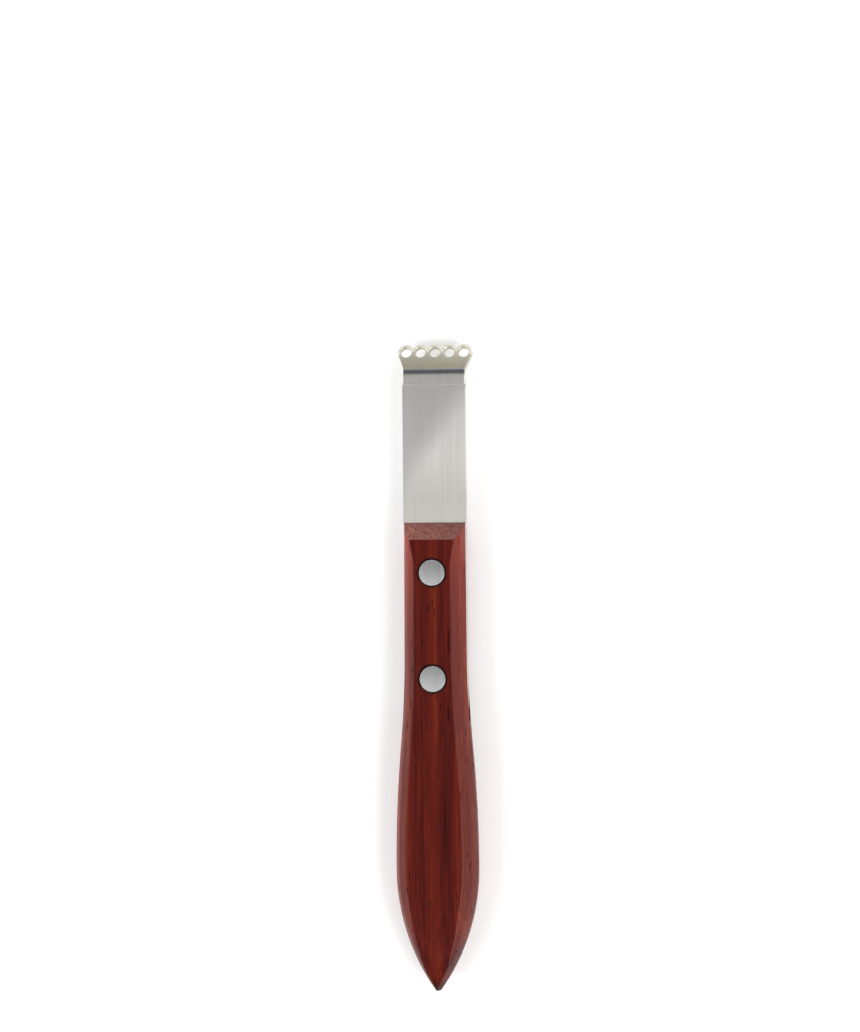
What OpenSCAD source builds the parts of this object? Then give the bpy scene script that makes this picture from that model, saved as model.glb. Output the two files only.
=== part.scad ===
// Five-hole citrus zester: a bent and scalloped stainless head on a flat strip, in a
// facetted rosewood handle with two flush two-part rivets.
// It lies on the back of its handle. +Z is up, +Y points along the strip to the head,
// and the origin is under the middle of the whole length, on the table. Millimetres.

/* [Handle] */
// Length from the end that grips the blade to the pointed tip
handle_l = 133.5; // [122:0.5:160]
// Thickness between the front flat and the back flat
handle_t = 14; // [12:0.5:18]
// Width at the blade end
top_w = 17.7; // [16.5:0.1:18.4]
// Width at the narrow waist
waist_w = 18; // [16:0.1:20]
// Distance of the waist from the blade end
waist_y = 37; // [25:1:50]
// Distance at which the swelling sides turn from hollow to round
swell_y = 63; // [55:0.5:80]
// Width at the belly, where the palm closes on it
belly_w = 23.6; // [21:0.1:28]
// Distance of the belly from the blade end
belly_y = 98.5; // [85:0.5:105]
// Width left at the blunted tip
tip_w = 1.3; // [0.5:0.1:3]
// Thickness that the two broad faces fall to at the tip
tip_t = 7.5; // [6:0.5:11]
// Length of the nose over which the broad faces fall
taper_l = 30; // [15:1:40]
// Width of the steep outer facet, seen from the front
outer_facet_w = 1.45; // [0.8:0.05:2]
// Width of the inner facet beside the broad flat, seen from the front
inner_facet_w = 2.15; // [1:0.05:2.6]
// Height of the inner facet
inner_facet_h = 2; // [1:0.1:3]
// Width of the outer facet at the blade end
outer_facet_end = 0.95; // [0.5:0.05:2]
// Width of the inner facet at the blade end
inner_facet_end = 1.35; // [0.5:0.05:2.6]
// Distance from the blade end at which both facets are at full width
facet_full_y = 13; // [10:0.5:20]
// Wood left on the narrow side beside the slot
side_land = 0.15; // [0.1:0.05:0.5]
// Length of the sloping end face above the strip
end_bevel_l = 4.8; // [3:0.1:8]
// Thickness of the wood at the mouth of the slot
end_land = 0.25; // [0.1:0.05:1]

/* [Blade] */
// Thickness of the steel
strip_t = 2; // [1.5:0.1:2.5]
// Width of the strip in front of the handle
strip_w = 18.3; // [18:0.1:20]
// Length of the strip from the handle to the neck
strip_l = 39.5; // [30:0.5:60]
// Rounding of the strip's two upper corners
shoulder_r = 0.5; // [0.2:0.1:1.5]
// Length of the tang inside the handle
tang_l = 56; // [50:1:75]
// Rounding of the tang's two hidden corners
tang_r = 1.5; // [0.5:0.5:4]
// Width of the neck and the bend
neck_w = 17.7; // [16.5:0.1:17.9]
// Length of the flat part of the neck
neck_l = 2.9; // [1.5:0.1:6]
// Depth that the neck and head are ground below the strip's front
neck_drop = 0.25; // [0.1:0.05:0.5]
// Length of the ground slope between strip and neck
step_l = 0.25; // [0.2:0.05:1]
// Angle that the head leans back
bend_angle = 19; // [5:1:35]
// Inside radius of the bend, on the back
bend_r = 2.6; // [1.5:0.1:5]

/* [Zesting head] */
// Number of zesting holes
hole_count = 5; // [4:1:6]
// Bore of a zesting hole
hole_d = 3.05; // [2.4:0.05:3.4]
// Distance between neighbouring holes
hole_pitch = 4.17; // [3.9:0.01:4.6]
// Wall of the ring round each hole
ring_wall = 0.9; // [0.8:0.05:1.3]
// Distance from the bend to the row of hole centres
hole_rise = 5.35; // [4.5:0.05:8]
// Height of the web in the notches, above the row of hole centres
notch_rise = 1.5; // [0.8:0.1:1.6]
// Width of the bevel round the outside of each ring
bevel_w = 0.6; // [0.3:0.05:0.7]
// Height of the bevel round the outside of each ring
bevel_h = 0.5; // [0.3:0.05:0.8]
// Chamfer at the rim of each hole and along the flared sides
rim_chamfer = 0.15; // [0.05:0.05:0.2]

/* [Rivets] */
// Distance of the first rivet from the blade end of the handle
rivet_first = 14.2; // [12:0.1:18]
// Distance of the second rivet from the hidden end of the tang
rivet_last = 11.6; // [10:0.1:18]
// Diameter of a rivet head
head_d = 7.4; // [6:0.1:8]
// Thickness of a rivet head
head_t = 1.5; // [1:0.1:2.5]
// Chamfer that breaks the rim of a rivet head
rim_break = 0.15; // [0.05:0.05:0.3]
// Diameter of the hollow shank
tube_d = 4.4; // [4:0.1:5]
// Diameter of the solid shank that is pressed into it
pin_d = 3; // [2:0.1:3.4]
// Length by which the hollow shank stops short of the other head
tube_short = 0.6; // [0.2:0.1:1.5]
// Thickness of metal under the blind bore
bore_floor = 0.5; // [0.3:0.1:1]
// Gap that the solid shank leaves at the foot of the blind bore
pin_short = 0.5; // [0.2:0.1:1.5]

/* [Fits] */
// Play of the tang in its slot, over the two faces together
slot_play = 0.1; // [0.04:0.02:0.3]
// Length of empty slot behind the tang
slot_spare = 0.6; // [0.4:0.1:3]
// Gap round a rivet head in its counterbore
head_gap = 0.35; // [0.05:0.05:0.4]
// Gap round the hollow shank in wood and steel
tube_gap = 0.1; // [0.05:0.05:0.3]
// Gap between the two shanks, which are a press fit
press_gap = 0.01; // [0.005:0.005:0.05]

/* [Hidden] */

wood = [0.40, 0.12, 0.09];
steel = [0.74, 0.73, 0.71];
rivet_metal = [0.70, 0.70, 0.71];

// Stations of the loft where the facets widen, along the swelling part and round the nose
widen_steps = 6;
swell_steps = 20;
nose_steps = 22;
// Reach of a cutter past the surface that it opens
over = 1;
// Set-back of the plates from the bend, and of the bend from their sides, so that faces
// cross or stay apart instead of only touching
seam = 0.02;

// Where each row of things lies along the tool, measured from the handle's blade end
slot_t = strip_t + slot_play;
half_t = handle_t / 2;
half_strip = strip_t / 2;
neck_t = strip_t - neck_drop;
bend_y = strip_l + neck_l;
ring_r = hole_d / 2 + ring_wall;
row_w = (hole_count - 1) * hole_pitch;

// Highest reach of the rings: the front edge of the bevel's foot or the back edge
bend_front_r = bend_r + neck_t;
head_y = bend_y + (bend_front_r - seam) * sin(bend_angle);
ring_top_y = head_y + (hole_rise + ring_r) * cos(bend_angle) - bevel_h * sin(bend_angle);
ring_bevel_y = head_y + (hole_rise + ring_r - bevel_w) * cos(bend_angle);
top_y = max(ring_top_y, ring_bevel_y);
// Shift that puts the origin under the middle of the whole length
mid_y = (handle_l - top_y) / 2;
frame_shift = [0, mid_y, half_t];

// Section of the handle: half its width in plan, and the facets measured in from its side
side_z = slot_t / 2 + side_land;
outer_facet_h = half_t - side_z - inner_facet_h;
swell = (belly_w - waist_w) / 2;
swell_turn = (swell_y - waist_y) / (belly_y - waist_y);
nose_l = handle_l - belly_y;
nose_in = (belly_w - tip_w) / 2;
nose_r = (nose_l * nose_l + nose_in * nose_in) / (2 * nose_in);
nose_sweep = asin(nose_l / nose_r);

function neck_half(y) = (top_w + (waist_w - top_w) * y / waist_y) / 2;
function swell_half(u) = waist_w / 2
    + swell * (u < swell_turn ? u * u / swell_turn : 1 - (1 - u) * (1 - u) / (1 - swell_turn));
function nose_half(y) = belly_w / 2 - nose_r + sqrt(nose_r * nose_r - pow(y - belly_y, 2));
function half_width(y) = y <= waist_y ? neck_half(y)
    : y <= belly_y ? swell_half((y - waist_y) / (belly_y - waist_y))
    : nose_half(y);

// Half thickness at a station: level, then falling in a curve along the nose
function nose_share(y) = max(0, y - (handle_l - taper_l)) / taper_l;
function half_height(y) = half_t - (handle_t - tip_t) / 2 * pow(nose_share(y), 2);

// The facets widen in a curve, from just above the foot of the sloping end face
widen_y = end_bevel_l - over;
function widened(y) = let (u = max(0, min(1, (y - widen_y) / (facet_full_y - widen_y))))
    u * u * (3 - 2 * u);
function outer_w(y) = outer_facet_end + (outer_facet_w - outer_facet_end) * widened(y);
function inner_w(y) = inner_facet_end + (inner_facet_w - inner_facet_end) * widened(y);

// Facet height at a distance in from the side, and the distance at a height
function facet_z(d, y) = d < outer_w(y) ? side_z + d * outer_facet_h / outer_w(y)
    : side_z + outer_facet_h + (d - outer_w(y)) * inner_facet_h / inner_w(y);
function facet_d(z, y) = z < side_z + outer_facet_h ? (z - side_z) * outer_w(y) / outer_facet_h
    : outer_w(y) + (z - side_z - outer_facet_h) * inner_w(y) / inner_facet_h;

// Distances of the two creases in from the side, kept apart where the nose is narrow
nose_flat_share = 0.8;
nose_crease_share = 0.6;
function flat_in(y) = min(facet_d(half_height(y), y), nose_flat_share * half_width(y));
function crease_in(y) = min(outer_w(y), nose_crease_share * flat_in(y));

stations = concat([0],
    [for (i = [0 : widen_steps]) widen_y + (facet_full_y - widen_y) * i / widen_steps],
    [for (i = [0 : swell_steps]) waist_y + (belly_y - waist_y) * i / swell_steps],
    [for (i = [1 : nose_steps]) belly_y + nose_r * sin(nose_sweep * i / nose_steps)]);

// One quarter of a section, from the side to the broad flat, then the other three
function quarter(y) = [
    [half_width(y), side_z],
    [half_width(y) - crease_in(y), facet_z(crease_in(y), y)],
    [half_width(y) - flat_in(y), facet_z(flat_in(y), y)]];
function section(y) = let (q = quarter(y)) concat(
    q,
    [for (i = [2, 1, 0]) [-q[i][0], q[i][1]]],
    [for (i = [0, 1, 2]) [-q[i][0], -q[i][1]]],
    [for (i = [2, 1, 0]) [q[i][0], -q[i][1]]]);

section_n = len(section(0));
station_n = len(stations);

module handle_loft() {
    points = [for (y = stations) for (p = section(y)) [p[0], -y, p[1]]];
    sides = [for (i = [0 : station_n - 2]) for (j = [0 : section_n - 1])
        let (k = (j + 1) % section_n)
        [i * section_n + j, (i + 1) * section_n + j, (i + 1) * section_n + k, i * section_n + k]];
    first_end = [for (j = [0 : section_n - 1]) j];
    last_end = [for (j = [section_n - 1 : -1 : 0]) (station_n - 1) * section_n + j];
    polyhedron(points = points, faces = concat([first_end, last_end], sides));
}

// Wedge that takes the front of the blade end down to the strip
module end_wedge() {
    rise = half_t - slot_t / 2 - end_land;
    rotate([90, 0, -90])
        linear_extrude(height = belly_w, center = true)
            polygon([[-over, slot_t / 2 + end_land - over * rise / end_bevel_l],
                [end_bevel_l + over, half_t + over * rise / end_bevel_l],
                [-over, half_t + over * rise / end_bevel_l]]);
}

// Centres of the two rivets along the tool
rivet_ys = [-rivet_first, rivet_last - tang_l];

module rivet_bore(y) {
    translate([0, y, -half_t - over])
        cylinder(h = handle_t + 2 * over, d = tube_d + 2 * tube_gap, $fn = 48);
    for (side = [0, 1])
        mirror([0, 0, side])
            translate([0, y, half_t - head_t])
                cylinder(h = head_t + over, d = head_d + 2 * head_gap, $fn = 64);
}

// One piece of rosewood with a saw slot, sloping end faces and counterbored rivet holes
module handle() {
    color(wood)
        translate(frame_shift)
            difference() {
                handle_loft();
                translate([-belly_w / 2, -tang_l - slot_spare, -slot_t / 2])
                    cube([belly_w, tang_l + slot_spare + over, slot_t]);
                end_wedge();
                mirror([0, 0, 1])
                    end_wedge();
                for (y = rivet_ys)
                    rivet_bore(y);
            }
}

// Plan of the tang: ground flush with the wood, but never wider than the strip
function tang_half(y) = min(half_width(y), strip_w / 2);
tang_stations = concat(
    [for (y = stations) if (y == 0 || y >= waist_y && y < tang_l - tang_r) y],
    [tang_l - tang_r]);

module tang_plan() {
    polygon(concat(
        [for (y = tang_stations) [tang_half(y), -y]],
        [for (i = [len(tang_stations) - 1 : -1 : 0])
            [-tang_half(tang_stations[i]), -tang_stations[i]]]));
    end_half = tang_half(tang_l - tang_r);
    translate([-end_half + tang_r, -tang_l])
        square([2 * (end_half - tang_r), tang_r + over]);
    for (side = [-1, 1])
        translate([side * (end_half - tang_r), -tang_l + tang_r])
            circle(r = tang_r, $fn = 48);
}

module strip_plan() {
    translate([-strip_w / 2, 0])
        square([strip_w, strip_l - shoulder_r]);
    translate([-strip_w / 2 + shoulder_r, 0])
        square([strip_w - 2 * shoulder_r, strip_l]);
    for (side = [-1, 1])
        translate([side * (strip_w / 2 - shoulder_r), strip_l - shoulder_r])
            circle(r = shoulder_r, $fn = 32);
}

// Tang and strip at full thickness, with the ground slope at the strip's upper end
module flat_stock() {
    difference() {
        translate([0, 0, -half_strip])
            linear_extrude(height = strip_t)
                union() {
                    tang_plan();
                    strip_plan();
                }
        rotate([90, 0, 90])
            linear_extrude(height = strip_w + 2 * over, center = true)
                polygon([[strip_l - step_l, half_strip],
                    [strip_l + over, half_strip - neck_drop * (1 + over / step_l)],
                    [strip_l + over, half_strip + over],
                    [strip_l - step_l, half_strip + over]]);
        for (y = rivet_ys)
            translate([0, y, -strip_t])
                cylinder(h = 2 * strip_t, d = tube_d + 2 * tube_gap, $fn = 48);
    }
}

// The bend runs on inside both plates by an angle, and each plate into the bend by a length
bend_seam = (acos(1 - seam / bend_front_r) + acos(1 - seam / bend_r)) / 2;
plate_seam = (bend_r + bend_front_r) / 2 * sin(bend_seam);
bend_axis = [0, bend_y, half_strip - neck_drop + seam - bend_front_r];

// Point where the flared side touches the outermost ring, in the plane of the head
flare_x = row_w / 2 - neck_w / 2;
flare_l = sqrt(flare_x * flare_x + hole_rise * hole_rise);
flare_lean = atan2(flare_x, hole_rise) + asin(ring_r / flare_l);
touch = [row_w / 2 + ring_r * cos(flare_lean), hole_rise - ring_r * sin(flare_lean)];

module head_plan() {
    polygon([[-neck_w / 2, -plate_seam], [neck_w / 2, -plate_seam], [neck_w / 2, 0],
        touch, [row_w / 2, hole_rise], [-row_w / 2, hole_rise],
        [-touch[0], touch[1]], [-neck_w / 2, 0]]);
}

// Prism that breaks the front edge of the flared side on the right
module side_chamfer() {
    translate([touch[0], touch[1], 0])
        rotate([0, 0, -flare_lean])
            rotate([90, 0, 0])
                linear_extrude(height = norm([touch[0] - neck_w / 2, touch[1]]))
                    polygon([[-rim_chamfer - over, over], [over, -rim_chamfer - over], [over, over]]);
}

module ring(x) {
    translate([x, hole_rise, -neck_t])
        cylinder(h = neck_t - bevel_h, r = ring_r, $fn = 64);
    translate([x, hole_rise, -bevel_h])
        cylinder(h = bevel_h, r1 = ring_r, r2 = ring_r - bevel_w, $fn = 64);
}

module zest_hole(x) {
    translate([x, hole_rise, -neck_t - over])
        cylinder(h = neck_t + 2 * over, d = hole_d, $fn = 64);
    translate([x, hole_rise, -rim_chamfer])
        cylinder(h = rim_chamfer + over, r1 = hole_d / 2,
            r2 = hole_d / 2 + rim_chamfer + over, $fn = 64);
}

hole_xs = [for (i = [0 : hole_count - 1]) i * hole_pitch - row_w / 2];

// Scalloped plate in its own plane: front at z = 0, the bend along y = 0
module head_plate() {
    difference() {
        union() {
            translate([0, 0, -neck_t])
                linear_extrude(height = neck_t)
                    head_plan();
            translate([-row_w / 2, hole_rise / 2, -neck_t])
                cube([row_w, hole_rise / 2 + notch_rise, neck_t - bevel_h]);
            for (x = hole_xs)
                ring(x);
        }
        for (x = hole_xs)
            zest_hole(x);
        for (side = [0, 1])
            mirror([side, 0, 0])
                side_chamfer();
    }
}

// Flat neck, the bend about an axis behind it, and the head leaning back from the bend
module neck_and_head() {
    translate([-neck_w / 2, strip_l - shoulder_r - over, -half_strip])
        cube([neck_w, neck_l + shoulder_r + over + plate_seam, neck_t]);
    translate(bend_axis)
        rotate([bend_seam, 0, 0])
            rotate([0, -90, 0])
                rotate_extrude(angle = bend_angle + 2 * bend_seam, $fn = 180)
                    translate([bend_r, seam - neck_w / 2])
                        square([neck_t, neck_w - 2 * seam]);
    translate(bend_axis)
        rotate([-bend_angle, 0, 0])
            translate([0, 0, bend_front_r - seam])
                head_plate();
}

// One stainless piece: tang, strip, neck, bend and five-hole head
module blade() {
    color(steel)
        translate(frame_shift)
            union() {
                flat_stock();
                neck_and_head();
            }
}

// Head that lies flush with the front flat
module rivet_head() {
    translate([0, 0, half_t - head_t])
        cylinder(h = head_t - rim_break, d = head_d, $fn = 64);
    translate([0, 0, half_t - rim_break])
        cylinder(h = rim_break, d1 = head_d, d2 = head_d - 2 * rim_break, $fn = 64);
}

// Front half of a rivet: flush head and solid shank
module rivet_stud(y) {
    pin_end = -half_t + head_t + pin_short;
    color(rivet_metal)
        translate(frame_shift)
            translate([0, y, 0]) {
                rivet_head();
                translate([0, 0, pin_end])
                    cylinder(h = half_t - head_t - pin_end, d = pin_d, $fn = 48);
            }
}

// Back half of a rivet: flush head and hollow shank with a blind bore
module rivet_socket(y) {
    bore_foot = -half_t + head_t + pin_short - bore_floor;
    tube_end = half_t - head_t - tube_short;
    color(rivet_metal)
        translate(frame_shift)
            translate([0, y, 0])
                difference() {
                    union() {
                        mirror([0, 0, 1])
                            rivet_head();
                        translate([0, 0, -half_t + head_t])
                            cylinder(h = tube_end + half_t - head_t, d = tube_d, $fn = 48);
                    }
                    translate([0, 0, bore_foot])
                        cylinder(h = tube_end - bore_foot + over, d = pin_d + 2 * press_gap, $fn = 48);
                }
}

handle();
blade();
rivet_stud(rivet_ys[0]);  // upper_rivet_stud
rivet_socket(rivet_ys[0]);  // upper_rivet_socket
rivet_stud(rivet_ys[1]);  // lower_rivet_stud
rivet_socket(rivet_ys[1]);  // lower_rivet_socket
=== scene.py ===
# %% [markdown]
# A citrus zester lies on the back of its handle and is seen from above. Five small steel
# rings at its end cut strands of peel. Behind them run a bend, a flat brushed strip and a
# hidden tang, which two rivets hold in a slot sawn in a facetted rosewood handle.
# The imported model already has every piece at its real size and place, so it is loaded
# first, as a fixed frame, and nothing after this moves it.

# %% Load the frame
import math

import bmesh
import bpy
from mathutils import Matrix, Vector


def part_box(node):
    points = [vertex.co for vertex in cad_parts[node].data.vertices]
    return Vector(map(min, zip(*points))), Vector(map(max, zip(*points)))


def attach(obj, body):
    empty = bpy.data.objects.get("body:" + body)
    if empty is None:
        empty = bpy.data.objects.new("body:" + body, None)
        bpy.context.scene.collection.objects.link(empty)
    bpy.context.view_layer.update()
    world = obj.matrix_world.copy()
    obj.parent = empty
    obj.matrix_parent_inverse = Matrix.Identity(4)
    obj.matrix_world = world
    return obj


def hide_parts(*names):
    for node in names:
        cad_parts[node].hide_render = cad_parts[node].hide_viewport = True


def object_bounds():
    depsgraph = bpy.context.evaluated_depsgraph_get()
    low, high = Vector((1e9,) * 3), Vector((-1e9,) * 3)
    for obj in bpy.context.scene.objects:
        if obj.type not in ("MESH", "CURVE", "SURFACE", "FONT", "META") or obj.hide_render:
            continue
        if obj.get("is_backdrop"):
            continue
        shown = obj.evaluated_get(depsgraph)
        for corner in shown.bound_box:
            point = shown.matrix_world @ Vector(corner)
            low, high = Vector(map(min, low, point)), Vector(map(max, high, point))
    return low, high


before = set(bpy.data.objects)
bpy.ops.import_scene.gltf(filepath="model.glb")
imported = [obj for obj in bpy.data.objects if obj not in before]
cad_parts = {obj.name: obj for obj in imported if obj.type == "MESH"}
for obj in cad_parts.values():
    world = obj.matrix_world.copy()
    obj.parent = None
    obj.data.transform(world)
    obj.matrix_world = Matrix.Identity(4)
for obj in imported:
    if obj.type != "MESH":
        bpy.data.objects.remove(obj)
cad_low, cad_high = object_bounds()
MM = 0.001
cad_size = [round((high - low) / MM, 1) for low, high in zip(cad_low, cad_high)]
print("frame:", ", ".join(sorted(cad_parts)), "in a box of", cad_size, "mm")

# %% [markdown]
# The camera stands nearly straight above. It could be placed by eye, but the picture gives
# it exactly: 3.5 pixels show one millimetre, the origin of the frame lies under a known
# pixel, and the tool leans by half a degree. The rivets and the long creases lie a little
# off the middle of the outline, which says that the lens stands to the tool's right. A
# long lens, far away, is what a studio uses for such a shot, and it keeps the outline free
# of perspective.

# %% Camera
PICTURE_W, PICTURE_H = 860, 1032
PX_PER_MM = 3.5
ORIGIN_PX = (436.4, 667.1)
LENS_YAW = math.radians(9.6)
PICTURE_ROLL = math.radians(0.45)
LENS_DISTANCE = 1.2
SENSOR_MM = 36

mid_height = (cad_low.z + cad_high.z) / 2
to_lens = Vector((math.sin(LENS_YAW), 0, math.cos(LENS_YAW)))
level_right = Vector((math.cos(LENS_YAW), 0, -math.sin(LENS_YAW)))
along = Vector((0, 1, 0))
picture_right = level_right * math.cos(PICTURE_ROLL) - along * math.sin(PICTURE_ROLL)
picture_up = along * math.cos(PICTURE_ROLL) + level_right * math.sin(PICTURE_ROLL)

right_of_origin = (PICTURE_W / 2 - ORIGIN_PX[0]) / PX_PER_MM * MM
above_origin = (ORIGIN_PX[1] - PICTURE_H / 2) / PX_PER_MM * MM
centre = Vector((0, 0, mid_height)) + picture_right * right_of_origin + picture_up * above_origin
picture_height = PICTURE_H / PX_PER_MM * MM

lens = bpy.data.cameras.new("studio_lens")
lens.sensor_fit = "VERTICAL"
lens.sensor_height = SENSOR_MM
lens.lens = SENSOR_MM * LENS_DISTANCE / picture_height
camera = bpy.data.objects.new("studio_camera", lens)
bpy.context.scene.collection.objects.link(camera)
turn_of_lens = Matrix((picture_right, picture_up, to_lens)).transposed()
camera.matrix_world = Matrix.Translation(centre + to_lens * LENS_DISTANCE) @ turn_of_lens.to_4x4()
bpy.context.scene.camera = camera
print("camera: focal length", round(lens.lens, 1), "mm at", LENS_DISTANCE, "m")

# %% [markdown]
# The light is a small white studio. Two large soft boxes stand left and right, the right
# one stronger, because the tool's shadow falls mostly to its left. A weak one beyond the
# head lights the slope that the rings lie on.

# %% Soft boxes
# Name, place, point aimed at, width and height, all in metres, then watts and colour
SOFT_BOXES = [
    ("right_soft_box", (0.80, -0.50, 0.85), (0, -0.50, 0), (0.9, 0.6), 10, (1.0, 0.985, 0.96)),
    ("left_soft_box", (-0.80, -0.48, 0.80), (0, -0.48, 0), (0.9, 0.6), 7.5, (0.97, 0.985, 1.0)),
    ("head_soft_box", (0.10, 1.00, 0.55), (0, 0.05, 0), (0.9, 0.4), 1.5, (1.0, 0.99, 0.97)),
]


def hang_soft_box(name, place, aim, size, watts, colour):
    light = bpy.data.lights.new(name, "AREA")
    light.shape = "RECTANGLE"
    light.size, light.size_y = size
    light.energy = watts
    light.color = colour
    made = bpy.data.objects.new(name, light)
    bpy.context.scene.collection.objects.link(made)
    made.location = place
    made.rotation_euler = (Vector(aim) - Vector(place)).to_track_quat("-Z", "Y").to_euler()


for soft_box in SOFT_BOXES:
    hang_soft_box(*soft_box)
print("light:", len(SOFT_BOXES), "soft boxes")

# %% [markdown]
# The ceiling of the studio is dark: that is why the oiled flat of the handle looks deep and
# clear while its sloping facets, which mirror the bright walls, look paler. The room could
# be built of lit panels. A gradient in the world's shader, from bright walls to a dark
# ceiling, does the same, costs nothing to render and has no noise.

# %% Room
WALL_LIGHT = 2.40
CEILING_LIGHT = 0.14
WALL_TOP, CEILING_FROM = 0.20, 0.85

world = bpy.data.worlds.new("white_studio")
world.use_nodes = True
bpy.context.scene.world = world
room = world.node_tree
background = room.nodes["Background"]
direction = room.nodes.new("ShaderNodeTexCoord")
height = room.nodes.new("ShaderNodeSeparateXYZ")
room.links.new(direction.outputs["Generated"], height.inputs["Vector"])
fade = room.nodes.new("ShaderNodeMapRange")
fade.interpolation_type = "SMOOTHSTEP"
fade.inputs["From Min"].default_value = WALL_TOP
fade.inputs["From Max"].default_value = CEILING_FROM
fade.inputs["To Min"].default_value = WALL_LIGHT
fade.inputs["To Max"].default_value = CEILING_LIGHT
room.links.new(height.outputs["Z"], fade.inputs["Value"])
room.links.new(fade.outputs["Result"], background.inputs["Strength"])
background.inputs["Color"].default_value = (1.0, 1.0, 1.0, 1.0)
bpy.context.scene.view_settings.view_transform = "Standard"
print("room: from", CEILING_LIGHT, "overhead to", WALL_LIGHT, "at the walls")

# %% [markdown]
# Materials are small networks of nodes, so a few helpers keep each of them short. They add
# a node, stretch a coordinate, and give noise, a ramp or a mix. Every pattern starts from
# Object coordinates: the pieces sit unturned at the origin, so a position in a pattern is
# a real place on the tool, in metres, and a grain runs on unbroken round every corner.

# %% Helpers: nodes and coordinates


def srgb(*levels):
    return tuple(((n / 255 + 0.055) / 1.055) ** 2.4 if n > 10 else n / 255 / 12.92 for n in levels)


def new_finish(name):
    made = bpy.data.materials.new(name)
    made.use_nodes = True
    return made, made.node_tree, made.node_tree.nodes["Principled BSDF"]


def add_node(tree, kind, **settings):
    made = tree.nodes.new(kind)
    for key, value in settings.items():
        setattr(made, key, value)
    return made


def place_on_tool(tree):
    return add_node(tree, "ShaderNodeTexCoord").outputs["Object"]


def way_faced(tree):
    return add_node(tree, "ShaderNodeTexCoord").outputs["Normal"]


def parted(tree, vector):
    """The X, Y and Z of a vector, each as an output of its own."""
    made = add_node(tree, "ShaderNodeSeparateXYZ")
    tree.links.new(vector, made.inputs["Vector"])
    return made.outputs


def dot(tree, vector, direction):
    made = add_node(tree, "ShaderNodeVectorMath", operation="DOT_PRODUCT")
    made.inputs[1].default_value = direction
    tree.links.new(vector, made.inputs[0])
    return made.outputs["Value"]


def stretched(tree, vector, scale, shift=(0, 0, 0)):
    made = add_node(tree, "ShaderNodeMapping")
    made.inputs["Scale"].default_value = scale
    made.inputs["Location"].default_value = shift
    tree.links.new(vector, made.inputs["Vector"])
    return made.outputs["Vector"]


def noise(tree, spot, cells, detail, roughness, shift=(0, 0, 0), output="Fac"):
    """Noise with so many cells per metre along X, Y and Z."""
    made = add_node(tree, "ShaderNodeTexNoise")
    made.inputs["Scale"].default_value = 1.0
    made.inputs["Detail"].default_value = detail
    made.inputs["Roughness"].default_value = roughness
    tree.links.new(stretched(tree, spot, cells, shift), made.inputs["Vector"])
    return made.outputs[output]


print("helpers: coordinates and noise, in cells per metre")

# %% [markdown]
# The second set works with single values. Noise seldom leaves the range from 0.3 to 0.7, so
# one helper spreads just that range over the two values that a finish wants.

# %% Helpers: values and colours
NOISE_LOW, NOISE_HIGH = 0.3, 0.7


def sums(tree, operation, first, second=None, clamp=False):
    made = add_node(tree, "ShaderNodeMath", operation=operation, use_clamp=clamp)
    for socket, value in zip(made.inputs, (first, second)):
        if isinstance(value, (int, float)):
            socket.default_value = value
        elif value is not None:
            tree.links.new(value, socket)
    return made.outputs["Value"]


def product(tree, first, *others):
    for value in others:
        first = sums(tree, "MULTIPLY", first, value)
    return first


def rescaled(tree, value, low, high, new_low=0, new_high=1):
    made = add_node(tree, "ShaderNodeMapRange")
    ends = {"From Min": low, "From Max": high, "To Min": new_low, "To Max": new_high}
    for name, number in ends.items():
        made.inputs[name].default_value = number
    tree.links.new(value, made.inputs["Value"])
    return made.outputs["Result"]


def spread(tree, value, new_low, new_high):
    return rescaled(tree, value, NOISE_LOW, NOISE_HIGH, new_low, new_high)


def ramp(tree, value, stops):
    made = add_node(tree, "ShaderNodeValToRGB")
    band = made.color_ramp
    while len(band.elements) < len(stops):
        band.elements.new(0.5)
    for element, (position, colour) in zip(band.elements, stops):
        element.position = position
        element.color = (*colour, 1.0)
    tree.links.new(value, made.inputs["Fac"])
    return made.outputs["Color"]


def blended(tree, share, first, second):
    made = add_node(tree, "ShaderNodeMix", data_type="RGBA")
    tree.links.new(share, made.inputs["Factor"])
    for socket, value in ((made.inputs["A"], first), (made.inputs["B"], second)):
        if isinstance(value, tuple):
            socket.default_value = (*value, 1.0)
        else:
            tree.links.new(value, socket)
    return made.outputs["Result"]


def bumped(tree, height, depth, over=None):
    made = add_node(tree, "ShaderNodeBump")
    made.inputs["Distance"].default_value = depth
    made.inputs["Strength"].default_value = 1.0
    tree.links.new(height, made.inputs["Height"])
    if over is not None:
        tree.links.new(over, made.inputs["Normal"])
    return made.outputs["Normal"]


print("helpers: noise is spread from", NOISE_LOW, "to", NOISE_HIGH)

# %% [markdown]
# Some marks on the wood and the steel belong to a place, such as the dark ring round a rivet
# or the ground part of the head. Their places are read from the boxes of the imported pieces.

# %% Places on the tool
handle_low, handle_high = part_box("handle")
stud_low, stud_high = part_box("upper_rivet_stud")
lower_low, lower_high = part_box("lower_rivet_stud")
rivet_places = [(stud_low.y + stud_high.y) / 2, (lower_low.y + lower_high.y) / 2]
blade_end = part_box("blade")[1].y
print("rivets at y =", [round(y / MM, 1) for y in rivet_places], "mm")

# %% [markdown]
# Rosewood shows growth bands, fine streaks and open pores, all drawn out along the grain.
# A picture could be wrapped round the handle, but a solid pattern is truer: the bands are
# leaning sheets through the wood, so they run as stripes along the flats and cross the
# cut end as the same sheets. Each band is a tone at a distance from the middle, listed in a
# table, and a slow noise makes the sheets wander, as a tree's rings do.

# %% Rosewood: bands and streaks
BAND_LEAN = math.radians(20)
BAND_REACH = 13 * MM
BAND_SHIFT = 1.3 * MM
FRONT_HEIGHT = 14 * MM
WANDER = 2.6 * MM
BROAD_SHARE, FINE_SHARE = 0.18, 0.22

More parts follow.
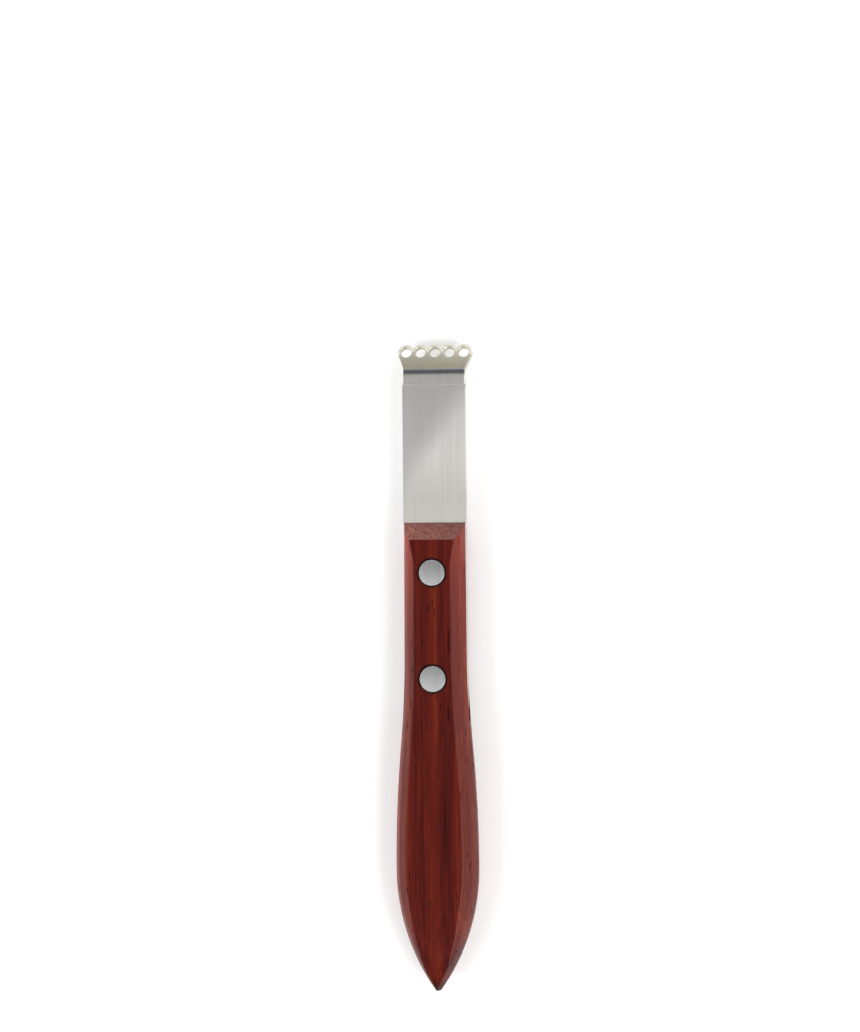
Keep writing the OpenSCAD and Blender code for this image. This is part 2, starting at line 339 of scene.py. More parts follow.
# Cells per metre, detail and roughness
WANDER_NOISE = ((70, 14, 70), 3.0, 0.5)
BROAD_NOISE = ((620, 18, 620), 3.0, 0.55)
FINE_NOISE = ((2300, 55, 2300), 4.0, 0.65)
WOOD_RED = srgb(82, 22, 15)
WOOD_TONES = [(0.0, srgb(42, 10, 9)), (0.30, srgb(68, 16, 12)), (0.55, WOOD_RED),
              (0.78, srgb(93, 32, 17)), (1.0, srgb(118, 40, 26))]

# The tones at the two outer ends, on the steep side facets, are lighter, the left most: painted light
# Distance across the front flat in millimetres, and tone from the darkest to the lightest
BANDS = [(-12, 0.90), (-9.8, 0.62), (-8.6, 0.60), (-7.2, 0.84), (-6.2, 0.42), (-4.6, 0.28),
         (-3.2, 0.42), (-2.8, 0.20), (-2.2, 0.42), (-1.2, 0.50), (0.0, 0.57), (1.6, 0.55),
         (2.5, 0.38), (3.3, 0.28), (3.9, 0.20), (4.5, 0.26), (5.4, 0.30), (6.2, 0.42),
         (7.2, 0.66), (8.0, 0.68), (9.1, 0.60), (12, 0.70)]


def wood_tone(tree, spot):
    wander = noise(tree, spot, *WANDER_NOISE, output="Color")
    drift = add_node(tree, "ShaderNodeVectorMath", operation="MULTIPLY_ADD")
    tree.links.new(wander, drift.inputs[0])
    drift.inputs[1].default_value = (WANDER, 0, WANDER)
    tree.links.new(spot, drift.inputs[2])
    across = dot(tree, drift.outputs["Vector"], (1, 0, math.tan(BAND_LEAN)))
    middle = FRONT_HEIGHT * math.tan(BAND_LEAN) + BAND_SHIFT
    share = rescaled(tree, across, middle - BAND_REACH, middle + BAND_REACH)
    half = BAND_REACH / MM
    sheets = ramp(tree, share, [((x + half) / (2 * half), (tone,) * 3) for x, tone in BANDS])
    broad = spread(tree, noise(tree, spot, *BROAD_NOISE), -BROAD_SHARE, BROAD_SHARE)
    fine = spread(tree, noise(tree, spot, *FINE_NOISE), -FINE_SHARE, FINE_SHARE)
    return sums(tree, "ADD", sums(tree, "ADD", sheets, broad), fine, clamp=True)


print("rosewood:", len(BANDS), "bands over", 2 * BAND_REACH / MM, "mm")

# %% [markdown]
# Pores are the cut ends of the tree's vessels. On a lengthwise face they are thin dark
# dashes and on cut end grain they are dots. Cells of Voronoi noise, stretched along the
# grain, give both at once: a cell holds a pore when its random colour passes a threshold,
# so pores stay few and uneven. One sheet of this wood holds a broken black vein as well.
# The same mask darkens the wood, sinks it through bump and takes its gloss away, because
# oil doesn't fill a pore.

# %% Rosewood: pores and the dark vein
# Cells per metre, radius of a pore in its cell, and share of the cells that hold one
LARGE_PORES = ((1700, 260, 1700), 0.40, 0.055)
SMALL_PORES = ((2600, 420, 2600), 0.36, 0.14)
END_PORES = ((2600, 700, 2600), 0.34, 0.30)
PORE_CORE = 0.70
SMALL_PORE_SHARE = 0.5
CROWD_FADE = (0.42, 0.62)
FEWEST, MOST = 0.4, 2.4
VEIN_X = 4.9 * MM
VEIN_HALF, VEIN_CORE = 0.50 * MM, 0.12 * MM
VEIN_WOBBLE = 0.5 * MM
VEIN_MIDDLE, VEIN_REACH = -6 * MM, 24 * MM
VEIN_FULL = VEIN_REACH * 0.6
BREAK_FADE = (0.42, 0.56)

# Cells per metre, detail, roughness and shift
CROWD_NOISE = ((260, 22, 260), 2.0, 0.5, (3, 5, 7))
WOBBLE_NOISE = ((60, 90, 60), 2.0, 0.5)
BREAK_NOISE = ((700, 190, 700), 3.0, 0.6, (2, 9, 4))


def pores(tree, spot, cells_per_metre, radius, share):
    cells = add_node(tree, "ShaderNodeTexVoronoi", feature="F1")
    cells.inputs["Scale"].default_value = 1.0
    tree.links.new(stretched(tree, spot, cells_per_metre), cells.inputs["Vector"])
    inside = rescaled(tree, cells.outputs["Distance"], radius, radius * PORE_CORE)
    chosen = add_node(tree, "ShaderNodeSeparateColor")
    tree.links.new(cells.outputs["Color"], chosen.inputs["Color"])
    crowd = noise(tree, spot, *CROWD_NOISE)
    enough = rescaled(tree, crowd, *CROWD_FADE, share * FEWEST, share * MOST)
    return product(tree, inside, sums(tree, "LESS_THAN", chosen.outputs["Red"], enough))


def dark_vein(tree, spot):
    """A broken black line in the sheets, a little left of the right-hand crease."""
    place = parted(tree, spot)
    sunk = sums(tree, "SUBTRACT", place["Z"], FRONT_HEIGHT)
    sheet = sums(tree, "ADD", place["X"], product(tree, sunk, math.tan(BAND_LEAN)))
    wobble = spread(tree, noise(tree, spot, *WOBBLE_NOISE), -VEIN_WOBBLE, VEIN_WOBBLE)
    off = sums(tree, "ABSOLUTE", sums(tree, "SUBTRACT", sums(tree, "ADD", sheet, wobble), VEIN_X))
    near = rescaled(tree, off, VEIN_HALF, VEIN_CORE)
    away = sums(tree, "ABSOLUTE", sums(tree, "SUBTRACT", place["Y"], VEIN_MIDDLE))
    along_grain = rescaled(tree, away, VEIN_REACH, VEIN_FULL)
    broken = rescaled(tree, noise(tree, spot, *BREAK_NOISE), *BREAK_FADE)
    return product(tree, near, along_grain, broken)


def all_pores(tree, spot):
    large = sums(tree, "MAXIMUM", pores(tree, spot, *LARGE_PORES), dark_vein(tree, spot))
    small = product(tree, pores(tree, spot, *SMALL_PORES), SMALL_PORE_SHARE)
    return sums(tree, "MAXIMUM", large, small)


longest_pore = 2 * LARGE_PORES[1] / LARGE_PORES[0][1]
print("pores: up to", round(longest_pore / MM, 1), "mm long")

# %% [markdown]
# A dark ring is laid on the wood round each rivet. The thin end of the tip is painted darker,
# as shade, and the steep facets near the blade are painted lighter and redder, as the light
# they catch, on the left more than on the right. Each mark could be painted. Here a mask made
# from the place on the tool lays it over the wood.

# %% Rosewood: painted light, painted shade and rivet rings
WOOD_PORE = srgb(24, 7, 7)
# Painted shade: the thin end of the tip is darkened
WOOD_TIP_SHADE = srgb(30, 15, 12)
# Painted light: the colour laid on the steep facets near the blade
WOOD_PAINTED_LIGHT = srgb(186, 72, 58)
# A dark colour laid in a ring round each rivet
RIVET_RING_DARK = srgb(12, 5, 5)
PORE_SHARE, TIP_SHADE_SHARE, RIVET_RING_SHARE = 0.72, 0.85, 0.75
HOLE_R = (stud_high.x - stud_low.x) / 2 + 0.35 * MM
RIVET_RING_FADE = (HOLE_R + 0.05 * MM, HOLE_R + 0.55 * MM)
TIP_SHADE_FADE = (handle_low.y + 0.8 * MM, handle_low.y + 4.5 * MM)
# Where the painted light on the facets runs, its share on the left and right, and the steepness it
# needs
PAINTED_LIGHT_FROM = handle_high.y - 2 * MM
PAINTED_LIGHT_TO = PAINTED_LIGHT_FROM - 52 * MM
PAINTED_LIGHT_LEFT, PAINTED_LIGHT_RIGHT = 0.30, 0.15
PAINTED_LIGHT_TILT = (0.96, 0.85)
SIDE_FADE = (-2 * MM, 2 * MM)


# Darkens the wood in a ring just outside each rivet hole
def dark_ring_round_rivets(tree, place):
    nearest = None
    for y in rivet_places:
        away = sums(tree, "SUBTRACT", place["Y"], y)
        squares = sums(tree, "ADD", product(tree, away, away), product(tree, place["X"], place["X"]))
        reach = sums(tree, "SQRT", squares)
        nearest = reach if nearest is None else sums(tree, "MINIMUM", nearest, reach)
    return rescaled(tree, nearest, *RIVET_RING_FADE, RIVET_RING_SHARE, 0)


def tilt_share(tree, none, all_of_it):
    """Nought on a flat face and one on a steep one, between two heights of its normal."""
    return rescaled(tree, sums(tree, "ABSOLUTE", parted(tree, way_faced(tree))["Z"]), none, all_of_it)


# The steep facets near the blade are painted lighter and redder, as the light they catch, more on the
# left
def facets_painted_light(tree, place):
    near = rescaled(tree, place["Y"], PAINTED_LIGHT_TO, PAINTED_LIGHT_FROM)
    side = rescaled(tree, place["X"], *SIDE_FADE, PAINTED_LIGHT_LEFT, PAINTED_LIGHT_RIGHT)
    return product(tree, tilt_share(tree, *PAINTED_LIGHT_TILT), product(tree, near, near, side))


def rosewood_colour(tree, spot, place, pored):
    marks = (
        (product(tree, pored, PORE_SHARE), WOOD_PORE),
        # painted shade at the tip
        (rescaled(tree, place["Y"], *TIP_SHADE_FADE, TIP_SHADE_SHARE, 0), WOOD_TIP_SHADE),
        # painted light on the steep facets
        (facets_painted_light(tree, place), WOOD_PAINTED_LIGHT),
        (dark_ring_round_rivets(tree, place), RIVET_RING_DARK),
    )
    colour = ramp(tree, wood_tone(tree, spot), WOOD_TONES)
    for share, over in marks:
        colour = blended(tree, share, colour, over)
    return colour


print("marks: dark_ring up to", round(RIVET_RING_FADE[1] / MM, 2), "mm from a rivet's middle")

# %% [markdown]
# The oil leaves a satin gloss. The side facets are so steep that their gloss would mirror
# the whole bright floor and hide the wood, so it is turned down there, on the left most,
# and also at the tip and in the pores.

# %% Rosewood: finish
GRAIN_NOISE = ((3800, 90, 3800), 3.0, 0.6)
SATIN = (0.26, 0.36)
PORE_ROUGHER = 0.12
GRAIN_HEIGHT = 0.35
PORE_DEPTH = 0.03 * MM
GLOSS = 0.15
LESS_ON_LEFT, LESS_ON_RIGHT = -0.12, -0.05
STEEP_TILT = (0.62, 0.45)
TIP_GLOSS, TIP_GLOSS_FADE = 0.2, (handle_low.y + 2 * MM, handle_low.y + 10 * MM)
PORE_GLOSS = 0.1


def rosewood_gloss(tree, place, pored):
    less = rescaled(tree, place["X"], *SIDE_FADE, LESS_ON_LEFT, LESS_ON_RIGHT)
    gloss = sums(tree, "ADD", product(tree, tilt_share(tree, *STEEP_TILT), less), GLOSS)
    away_from_tip = rescaled(tree, place["Y"], *TIP_GLOSS_FADE, TIP_GLOSS, 1)
    return product(tree, gloss, away_from_tip, rescaled(tree, pored, 0, 1, 1, PORE_GLOSS))


def make_rosewood():
    finish, tree, shader = new_finish("rosewood_oiled")
    spot = place_on_tool(tree)
    place = parted(tree, spot)
    pored = all_pores(tree, spot)
    grain = noise(tree, spot, *GRAIN_NOISE)
    rough = sums(tree, "ADD", spread(tree, grain, *SATIN), product(tree, pored, PORE_ROUGHER))
    relief = sums(tree, "SUBTRACT", product(tree, grain, GRAIN_HEIGHT), pored)
    tree.links.new(rosewood_colour(tree, spot, place, pored), shader.inputs["Base Color"])
    tree.links.new(rough, shader.inputs["Roughness"])
    tree.links.new(bumped(tree, relief, PORE_DEPTH), shader.inputs["Normal"])
    tree.links.new(rosewood_gloss(tree, place, pored), shader.inputs["Specular IOR Level"])
    return finish


rosewood = make_rosewood()
print("rosewood:", len(rosewood.node_tree.nodes), "nodes")

# %% [markdown]
# The sloping end faces are cut across the grain and only sanded. Cut fibres scatter light,
# so the wood there is paler, pinker and matt, with a mottle of pores seen end on. Its right
# side is painted darker, as shade. It gets its own finish, made from the same bands, and is
# put on by the way each face points.

# %% End grain
MOTTLE_NOISE = ((1200, 850, 1200), 5.0, 0.72)
END_TONES = [(0.32, srgb(88, 42, 36)), (0.46, srgb(124, 70, 62)),
             (0.59, srgb(148, 98, 87)), (0.74, srgb(174, 125, 111))]
# Painted shade: the right side of the end face is darkened
END_SHADE, END_SHADE_SHARE, END_SHADE_FADE = srgb(58, 34, 28), 0.32, (-8 * MM, 8 * MM)
END_DOT, DOT_SHARE = srgb(60, 24, 20), 0.6
DARK_BAND_SHARE, PALE_BAND_SHARE = 0.45, 0.12
END_MATT = (0.62, 0.85)
END_DEPTH = 0.10 * MM
END_GLOSS = 0.35


def make_end_grain():
    finish, tree, shader = new_finish("rosewood_end_grain")
    spot = place_on_tool(tree)
    mottle = noise(tree, spot, *MOTTLE_NOISE)
    dots = pores(tree, spot, *END_PORES)
    bands = rescaled(tree, wood_tone(tree, spot), 0, 1, DARK_BAND_SHARE, PALE_BAND_SHARE)
    # The right side of the end face is painted darker, as shade
    end_shade = rescaled(tree, parted(tree, spot)["X"], *END_SHADE_FADE, 0, END_SHADE_SHARE)
    dark_dots = product(tree, dots, DOT_SHARE)
    colour = ramp(tree, mottle, END_TONES)
    for share, over in ((bands, WOOD_RED), (end_shade, END_SHADE), (dark_dots, END_DOT)):
        colour = blended(tree, share, colour, over)
    tree.links.new(colour, shader.inputs["Base Color"])
    tree.links.new(spread(tree, mottle, *END_MATT), shader.inputs["Roughness"])
    relief = sums(tree, "SUBTRACT", mottle, dots)
    tree.links.new(bumped(tree, relief, END_DEPTH), shader.inputs["Normal"])
    shader.inputs["Specular IOR Level"].default_value = END_GLOSS
    return finish


end_grain = make_end_grain()
print("end grain:", len(end_grain.node_tree.nodes), "nodes")

# %% [markdown]
# The blade is one strip of steel with several finishes. Most of it is brushed. The foot
# near the handle is painted darker, as shade, and so is the bright slope of the step to the
# neck. The bend is smooth, and its cooler, darker colour paints the shade there. The head,
# ground by hand after it is bent, has a finer grain and a warmer tint; towards the rings it
# is painted lighter and greyer, as light, and its bevels are ground finer and painted
# lighter, as a highlight. Each could be a material of its own, but then the joins would be
# hard lines. One finish with a soft mask for each zone fades them as grinding does.

# %% Steel: zones
HEAD_FROM = blade_end - 9.5 * MM
HEAD_LEAN = math.radians(19)
STRIP_TONES = [(0.30, srgb(208, 205, 201)), (0.70, srgb(219, 217, 214))]
# Painted shade: a darker copy of the strip's tones, for its foot near the handle
STRIP_SHADE_TONES = [(0.30, srgb(180, 177, 172)), (0.70, srgb(200, 197, 192))]
HEAD_TONES = [(0.35, srgb(160, 154, 137)), (0.65, srgb(174, 168, 151))]
# Painted light: lighter, greyer steel on the head towards the rings
STEEL_UPPER_HEAD_LIGHT = srgb(188, 184, 172)
# Painted highlight: lighter steel on the head's bevels
STEEL_BEVEL_HIGHLIGHT = srgb(190, 186, 174)
# Painted shade on the bright slope of the step to the neck
STEEL_STEP_SHADE = srgb(150, 147, 141)
# The smooth bend's colour, cooler and darker than the strip, paints the shade there
STEEL_SMOOTH_SHADE = srgb(176, 179, 183)
SPECKLE_NOISE = ((2400, 2400, 2400), 4.0, 0.6)

# Where each fade has nothing of its zone and where it has all of it, along the tool
HEAD_FADE = (HEAD_FROM, HEAD_FROM + 2 * MM)
UPPER_HEAD_LIGHT_FADE = (HEAD_FROM + 3.5 * MM, HEAD_FROM + 7 * MM)
STRIP_SHADE_FADE, STRIP_SHADE_SHARE = (handle_high.y + 19 * MM, handle_high.y + 7 * MM), 0.85
BEND_LOW_FADE = (blade_end - 8.7 * MM, blade_end - 8.0 * MM)
BEND_HIGH_FADE = (blade_end - 6.7 * MM, blade_end - 7.3 * MM)
STEP_FROM, STEP_TO = blade_end - 11.8 * MM, blade_end - 11.48 * MM
BEVEL_FADE = (0.96, 0.86)


def steel_zones(tree, spot):
    y = parted(tree, spot)["Y"]
    past_start = sums(tree, "GREATER_THAN", y, STEP_FROM)
    before_end = sums(tree, "LESS_THAN", y, STEP_TO)
    head = rescaled(tree, y, *HEAD_FADE)
    front = dot(tree, way_faced(tree), (0, math.sin(HEAD_LEAN), math.cos(HEAD_LEAN)))
    return {
        "head": head,
        "upper_head_light": rescaled(tree, y, *UPPER_HEAD_LIGHT_FADE),
        "shaded_foot": rescaled(tree, y, *STRIP_SHADE_FADE, 0, STRIP_SHADE_SHARE),
        "bend": product(tree, rescaled(tree, y, *BEND_LOW_FADE), rescaled(tree, y, *BEND_HIGH_FADE)),
        "step": product(tree, past_start, before_end),
        "bevels": product(tree, rescaled(tree, front, *BEVEL_FADE), head),
    }


def steel_colour(tree, spot, brushed, zones):
    # Painted shade: the foot near the handle takes the darker tones
    unshaded_foot, shaded_foot = ramp(tree, brushed, STRIP_TONES), ramp(tree, brushed, STRIP_SHADE_TONES)
    # Painted shade on the step
    strip = blended(tree, zones["step"], blended(tree, zones["shaded_foot"], unshaded_foot, shaded_foot), STEEL_STEP_SHADE)
    speckled = ramp(tree, noise(tree, spot, *SPECKLE_NOISE), HEAD_TONES)
    # Painted light on the head towards the rings
    head = blended(tree, zones["upper_head_light"], speckled, STEEL_UPPER_HEAD_LIGHT)
    colour = blended(tree, zones["head"], strip, head)
    # Painted shade on the smooth bend
    colour = blended(tree, zones["bend"], colour, STEEL_SMOOTH_SHADE)
    # Painted highlight on the bevels, which are also ground finer
    return blended(tree, zones["bevels"], colour, STEEL_BEVEL_HIGHLIGHT)


print("steel: head finish from y =", round(HEAD_FROM / MM, 1), "mm")

# %% [markdown]
# Brushing spreads a reflection sideways, across the lines, so the strip gathers the two
# soft boxes although it faces the dark ceiling. The shader gives that by anisotropy, with a
# tangent that circles the tool's long axis, and thin stretched noise in colour, roughness
# and bump draws the lines themselves. A rolled and ground strip never mirrors its room
# quite evenly: here a highlight crosses it in a slant. The outline stays straight, so no
# shape is changed for it. A bump turns the light on the lower part by three degrees.

# %% Steel: brushing
LINE_NOISE, LINE_SHARE = ((9000, 55, 9000), 3.0, 0.65), 0.55
STREAK_NOISE, STREAK_SHARE = ((1500, 22, 1500), 2.0, 0.5), 0.45
LINE_DEPTH = 0.004 * MM
STRIP_SATIN = (0.40, 0.45)
BEVEL_FINER, BEND_FINER = 0.05, 0.17
STRIP_SIDEWAYS, HEAD_SIDEWAYS = 0.85, 0.4
WAVE_SLOPE = 0.052
WAVE_WIDTH = 12 * MM
WAVE_AT = 67 * MM
WAVE_SKEW = 1.5


def strip_wave(tree, spot):
    """Bump that is level towards the head and slopes a little towards the handle."""
    place = parted(tree, spot)
    wave_from, wave_to = WAVE_AT - WAVE_WIDTH / 2, WAVE_AT + WAVE_WIDTH / 2
    skewed = sums(tree, "SUBTRACT", place["Y"], product(tree, place["X"], WAVE_SKEW))
    share = rescaled(tree, skewed, wave_to, wave_from)
    curved = product(tree, product(tree, share, share), -WAVE_WIDTH / 2)
    straight = sums(tree, "MINIMUM", sums(tree, "SUBTRACT", skewed, wave_from), 0)
    return product(tree, sums(tree, "ADD", curved, straight), WAVE_SLOPE)


def tangent_round_tool(tree, shader):
    around = add_node(tree, "ShaderNodeTangent", direction_type="RADIAL", axis="Y")
    tree.links.new(around.outputs["Tangent"], shader.inputs["Tangent"])


def make_steel():
    finish, tree, shader = new_finish("steel_brushed")
    spot = place_on_tool(tree)
    zones = steel_zones(tree, spot)
    lines = product(tree, noise(tree, spot, *LINE_NOISE), LINE_SHARE)
    streaks = product(tree, noise(tree, spot, *STREAK_NOISE), STREAK_SHARE)
    brushed = sums(tree, "ADD", lines, streaks)
    finer = sums(tree, "ADD", product(tree, zones["bevels"], BEVEL_FINER),
                 product(tree, zones["bend"], BEND_FINER))
    rough = sums(tree, "SUBTRACT", spread(tree, brushed, *STRIP_SATIN), finer)
    sideways = rescaled(tree, zones["head"], 0, 1, STRIP_SIDEWAYS, HEAD_SIDEWAYS)
    relief = bumped(tree, strip_wave(tree, spot), 1.0, bumped(tree, brushed, LINE_DEPTH))
    tree.links.new(steel_colour(tree, spot, brushed, zones), shader.inputs["Base Color"])
    tree.links.new(rough, shader.inputs["Roughness"])
    tree.links.new(sideways, shader.inputs["Anisotropic"])
    tree.links.new(relief, shader.inputs["Normal"])
    shader.inputs["Metallic"].default_value = 1.0
    tangent_round_tool(tree, shader)
    return finish


steel = make_steel()
print("steel:", len(steel.node_tree.nodes), "nodes")

# %% [markdown]
# The rivets are a softer, greyer metal, sanded flush together with the wood, so the same
# lengthwise lines run over their heads. They get the steel's way of brushing with coarser
# lines and a plain grey colour.

# %% Rivet metal
RIVET_LINE_NOISE = ((5200, 120, 5200), 3.0, 0.6)
RIVET_TONES = [(0.3, srgb(159, 159, 160)), (0.7, srgb(173, 173, 173))]
RIVET_SATIN = (0.45, 0.54)
RIVET_SIDEWAYS = 0.6
RIVET_LINE_DEPTH = 0.003 * MM


def make_rivet_metal():
    finish, tree, shader = new_finish("rivet_satin")
    lines = noise(tree, place_on_tool(tree), *RIVET_LINE_NOISE)
    tree.links.new(ramp(tree, lines, RIVET_TONES), shader.inputs["Base Color"])
    tree.links.new(spread(tree, lines, *RIVET_SATIN), shader.inputs["Roughness"])
    tree.links.new(bumped(tree, lines, RIVET_LINE_DEPTH), shader.inputs["Normal"])
    shader.inputs["Metallic"].default_value = 1.0
    shader.inputs["Anisotropic"].default_value = RIVET_SIDEWAYS
    tangent_round_tool(tree, shader)
    return finish


rivet_metal = make_rivet_metal()
print("rivet metal:", len(rivet_metal.node_tree.nodes), "nodes")

# %% [markdown]
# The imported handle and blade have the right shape, but every edge on them is knife sharp,
# and a sharp edge catches no light. The mesh itself may not be changed, so each is copied,
# its loose triangles are merged, and flat areas are dissolved into single faces. Then each
# edge gets a weight, the share of the widest rounding that it takes, and one Bevel
# modifier rounds them all. Weighted normals keep the broad flats flat in the light.

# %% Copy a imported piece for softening
SAME_POINT = 0.002 * MM
FLAT_ANGLE = math.radians(0.6)
ROUND_SEGMENTS = 3


def keep_flats_flat(made):
    normals = made.modifiers.new("flat_stays_flat", "WEIGHTED_NORMAL")
    normals.keep_sharp = True


def copy_to_soften(node, name, *finishes):
    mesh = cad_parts[node].data.copy()
    mesh.name = name
    if "custom_normal" in mesh.attributes:
        mesh.attributes.remove(mesh.attributes["custom_normal"])
    work = bmesh.new()
    work.from_mesh(mesh)
    bmesh.ops.remove_doubles(work, verts=work.verts, dist=SAME_POINT)
    bmesh.ops.dissolve_limit(work, angle_limit=FLAT_ANGLE, verts=work.verts, edges=work.edges)
    for face in work.faces:
        face.smooth = True
    for edge in work.edges:
        edge.smooth = True
    work.to_mesh(mesh)
    work.free()
    mesh.materials.clear()
    for finish in finishes:
        mesh.materials.append(finish)
    made = bpy.data.objects.new(name, mesh)
    bpy.context.scene.collection.objects.link(made)
    return made


def soften(made, widest, weigh):
    work = bmesh.new()
    work.from_mesh(made.data)
    layer = work.edges.layers.float.get("bevel_weight_edge")
    if layer is None:
        layer = work.edges.layers.float.new("bevel_weight_edge")
    rounded = 0
    for edge in work.edges:
        if len(edge.link_faces) == 2:
            edge[layer] = min(1.0, weigh(edge) / widest)
            rounded += edge[layer] > 0
    work.to_mesh(made.data)
    work.free()
    bevel = made.modifiers.new("rounded_edges", "BEVEL")
    bevel.limit_method = "WEIGHT"
    bevel.width = widest
    bevel.segments = ROUND_SEGMENTS
    bevel.use_clamp_overlap = False
    keep_flats_flat(made)
    print(made.name + ":", len(made.data.polygons), "faces,", rounded, "edges rounded")


print("softening: points within", SAME_POINT / MM, "mm are merged")

# %% [markdown]
# On the handle, hands and sanding round the long creases between the facets by about a
# third of a millimetre, less where the facets run together at the tip. The edges of the
# cut end and of the rivet holes are crisper, and the slot's edges are left sharp.

# %% Handle
CREASE_ROUND = 0.35 * MM
END_ROUND = 0.14 * MM
HOLE_ROUND = 0.07 * MM
CREASE_ANGLE = math.radians(14)
SLOT_HALF = 1.3 * MM
RIVET_ZONE = 4.1 * MM
AT_SURFACE = 0.01 * MM
FACES_BLADE = 0.6
TIP_CRISP = 14 * MM


def near_rivet(point):
    return any(Vector((point.x, point.y - y)).length < RIVET_ZONE for y in rivet_places)


def handle_rounding(edge):
    middle = (edge.verts[0].co + edge.verts[1].co) / 2
    if edge.calc_face_angle(0) < CREASE_ANGLE or abs(middle.z - mid_height) < SLOT_HALF:
        return 0
    if near_rivet(middle):
        return HOLE_ROUND if min(middle.z - cad_low.z, cad_high.z - middle.z) < AT_SURFACE else 0
    if any(face.normal.y > FACES_BLADE for face in edge.link_faces):
        return END_ROUND
    return CREASE_ROUND * min(1, (middle.y - handle_low.y) / TIP_CRISP)


handle = copy_to_soften("handle", "rosewood_handle", rosewood, end_grain)
for face in handle.data.polygons:
    on_end = face.normal.y > FACES_BLADE and abs(face.center.z - mid_height) > SLOT_HALF
    face.material_index = 1 if on_end else 0
soften(handle, CREASE_ROUND, handle_rounding)
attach(handle, "root")
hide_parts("handle")

# %% [markdown]
# The blade is stamped from sheet and tumbled, so every edge is broken a little: the long
# edges of the strip show it as thin bright lines. The rims of the zesting holes are
# already chamfered in the frame and must stay keen, so the head's edges are softened much
# less. The short edges of the neck's round shoulders are left alone, because a bevel there
# would fold over itself.

# %% Blade
STRIP_ROUND = 0.12 * MM
RIM_ROUND = 0.04 * MM
SHARP_ANGLE = math.radians(30)
SHOULDER_FROM = HEAD_FROM - 2.8 * MM
SHOULDER_EDGE = 0.3 * MM


def blade_rounding(edge):
    middle = (edge.verts[0].co + edge.verts[1].co) / 2
    on_shoulder = SHOULDER_FROM < middle.y < HEAD_FROM and edge.calc_length() < SHOULDER_EDGE
    if edge.calc_face_angle(0) < SHARP_ANGLE or on_shoulder:
        return 0
    return RIM_ROUND if middle.y > HEAD_FROM or near_rivet(middle) else STRIP_ROUND


blade = copy_to_soften("blade", "steel_blade", steel)
soften(blade, STRIP_ROUND, blade_rounding)
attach(blade, "root")
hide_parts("blade")

# %% [markdown]
# A rivet is two turned parts pressed together: a head with a solid shank, and a head with a
# hollow one. Turned parts are made as on a lathe, by spinning half an outline round the
# axis. The outline is a run of edges, its rim corner is rounded with a bevel of the vertex,
# and a full spin with merged ends closes it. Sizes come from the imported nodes' boxes.

# %% Rivets
LATHE_STEPS = 96
HEAD_T = 1.5 * MM
PIN_R = 1.5 * MM
TUBE_R = 2.2 * MM
BORE_R = 1.51 * MM
BORE_FLOOR = 0.5 * MM
RIM_R = 0.22 * MM
RIM_SEGMENTS = 4
RIM_CORNER = 1
MERGE_SEAM = 0.001 * MM


def turn(name, outline, place):
    work = bmesh.new()
    points = [work.verts.new((r, 0, z)) for r, z in outline]
    for first, second in zip(points, points[1:]):
        work.edges.new((first, second))
    bmesh.ops.bevel(work, geom=[points[RIM_CORNER]], offset=RIM_R, offset_type="OFFSET",
                    segments=RIM_SEGMENTS, profile=0.5, affect="VERTICES", material=-1)
    bmesh.ops.spin(work, geom=work.verts[:] + work.edges[:], cent=(0, 0, 0), axis=(0, 0, 1),
                   dvec=(0, 0, 0), angle=2 * math.pi, steps=LATHE_STEPS, use_merge=True)
    bmesh.ops.remove_doubles(work, verts=work.verts, dist=MERGE_SEAM)
    bmesh.ops.recalc_face_normals(work, faces=work.faces)
    bmesh.ops.translate(work, verts=work.verts, vec=place)
    for face in work.faces:
        face.smooth = True
    mesh = bpy.data.meshes.new(name)
    work.to_mesh(mesh)
    work.free()
    mesh.materials.append(rivet_metal)
    made = bpy.data.objects.new(name, mesh)
    bpy.context.scene.collection.objects.link(made)
    keep_flats_flat(made)
    return made


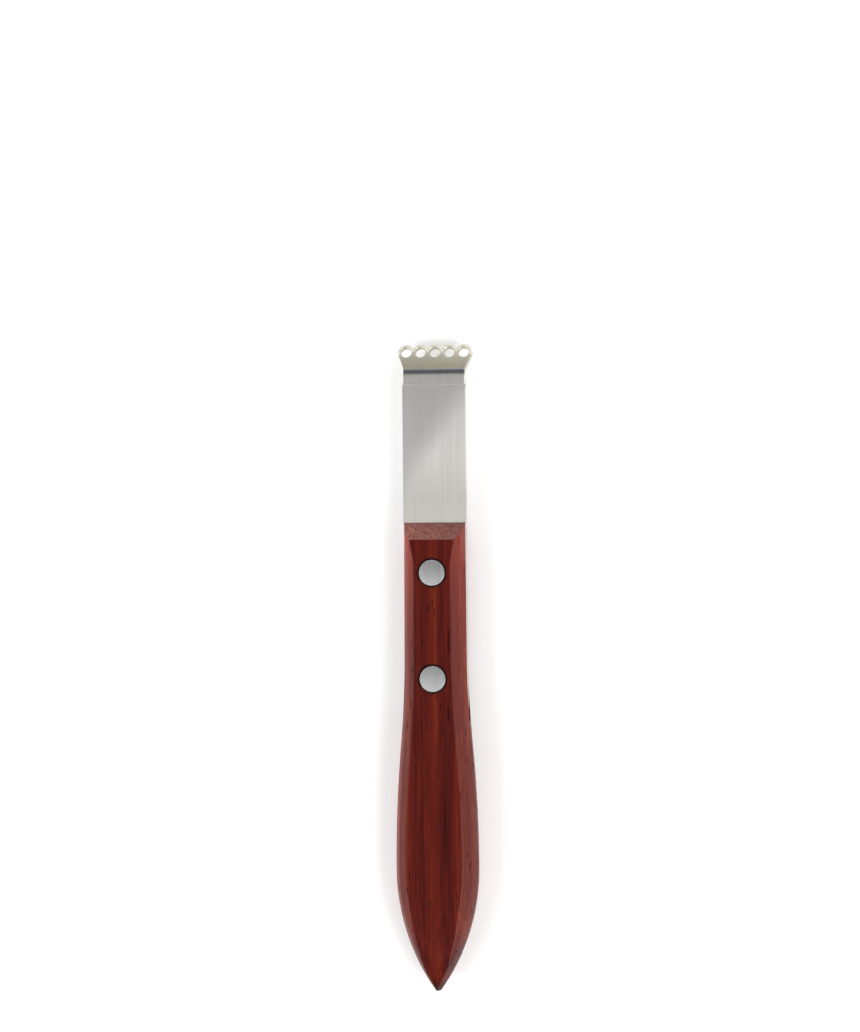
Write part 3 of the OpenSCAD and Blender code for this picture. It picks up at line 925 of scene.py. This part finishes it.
def make_rivet(where):
    stud_node, socket_node = where + "_rivet_stud", where + "_rivet_socket"
    low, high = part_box(stud_node)
    tube_low, tube_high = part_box(socket_node)
    head_r = (high.x - low.x) / 2
    place = (0, (low.y + high.y) / 2, 0)
    under_head = high.z - HEAD_T
    over_head = tube_low.z + HEAD_T
    floor_z = low.z - BORE_FLOOR
    stud = turn(where + "_stud", [(0, high.z), (head_r, high.z), (head_r, under_head),
                                  (PIN_R, under_head), (PIN_R, low.z), (0, low.z)], place)
    socket = turn(where + "_socket", [(0, tube_low.z), (head_r, tube_low.z), (head_r, over_head),
                                      (TUBE_R, over_head), (TUBE_R, tube_high.z),
                                      (BORE_R, tube_high.z), (BORE_R, floor_z), (0, floor_z)], place)
    for piece, node in ((stud, stud_node), (socket, socket_node)):
        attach(piece, "root")
        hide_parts(node)
    print(where, "rivet:", len(stud.data.polygons), "and", len(socket.data.polygons), "faces")


for where in ("upper", "lower"):
    make_rivet(where)

# %% [markdown]
# The table is a plain white sheet, wide enough to fill every view. It is matt, so that it
# takes the soft shadow and throws light back under the facets.

# %% Table
TABLE_HALF = 3.0
FIBRE_NOISE = ((900, 900, 900), 3.0, 0.5)
SHEET_TONES = [(0.2, (0.95, 0.95, 0.95)), (0.8, (0.97, 0.97, 0.97))]
SHEET_MATT = 0.9
SHEET_GLOSS = 0.2


def make_table_finish():
    finish, tree, shader = new_finish("white_sheet")
    fibre = noise(tree, place_on_tool(tree), *FIBRE_NOISE)
    tree.links.new(ramp(tree, fibre, SHEET_TONES), shader.inputs["Base Color"])
    shader.inputs["Roughness"].default_value = SHEET_MATT
    shader.inputs["Specular IOR Level"].default_value = SHEET_GLOSS
    return finish


work = bmesh.new()
bmesh.ops.create_grid(work, x_segments=1, y_segments=1, size=TABLE_HALF)
table_mesh = bpy.data.meshes.new("table_sheet")
work.to_mesh(table_mesh)
work.free()
table_mesh.materials.append(make_table_finish())
table = bpy.data.objects.new("table_sheet", table_mesh)
bpy.context.scene.collection.objects.link(table)
table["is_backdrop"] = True
print("table:", 2 * TABLE_HALF, "m wide")

# %% [markdown]
# Nothing that Blender adds should make the tool larger than it is in the frame, so the last
# step prints how far the box of the shown pieces grew past the frame's box, in millimetres.

# %% Sizes and the end
low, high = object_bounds()
growth = [round(max(a - b, c - d) / MM, 3) for a, b, c, d in zip(cad_low, low, high, cad_high)]
print("box grew by", growth, "mm")
